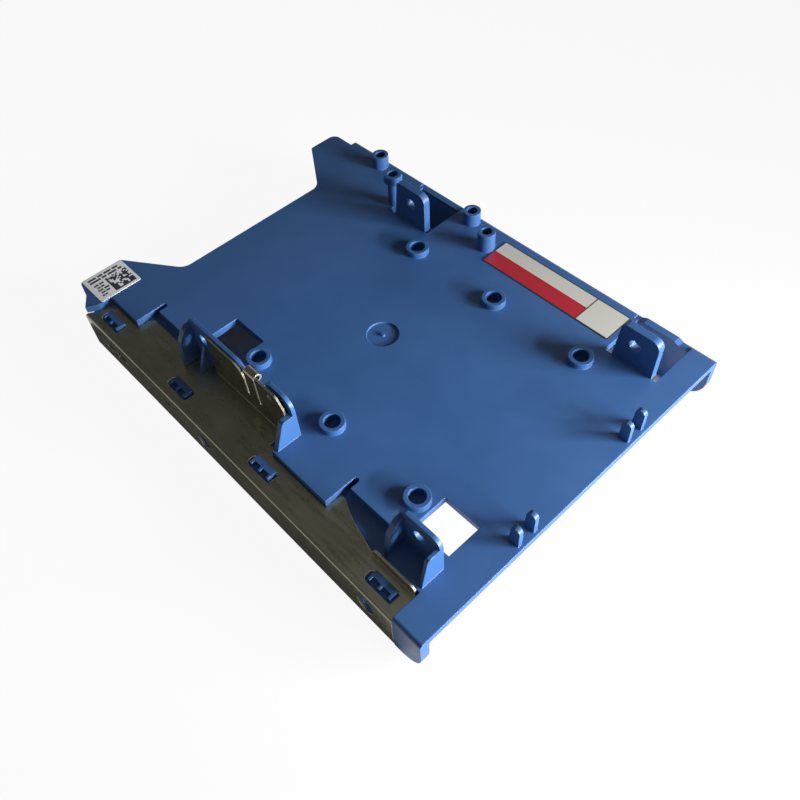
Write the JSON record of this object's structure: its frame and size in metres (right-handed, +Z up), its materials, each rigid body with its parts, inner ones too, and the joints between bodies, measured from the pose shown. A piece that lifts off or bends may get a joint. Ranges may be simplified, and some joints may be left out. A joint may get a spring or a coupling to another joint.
{
  "type": "hard drive caddy",
  "caption": "Open moulded tray that carries a 2.5-inch drive between upright tabs in a 3.5-inch bay, with a folded steel side rail and two ears.",
  "frame": {"origin": "centre of the bounding box in plan, at the foot of the two skirts", "axes": "+Z up from the skirts' feet to the drive side, +Y along the tray towards the two ears, +X across towards the free side, away from the steel rail"},
  "size_m": [0.1016, 0.141, 0.027],
  "materials": {
    "blue_plastic": "satin moulded",
    "rail_steel": "semi-gloss dark",
    "white_label": "printed paper",
    "two_tone_paper": "printed film"
  },
  "bodies": {
    "root": {"tray": "blue_plastic", "side_rail": "rail_steel", "ear_label": "white_label", "two_tone_label": "two_tone_paper"}
  },
  "joints": []
}
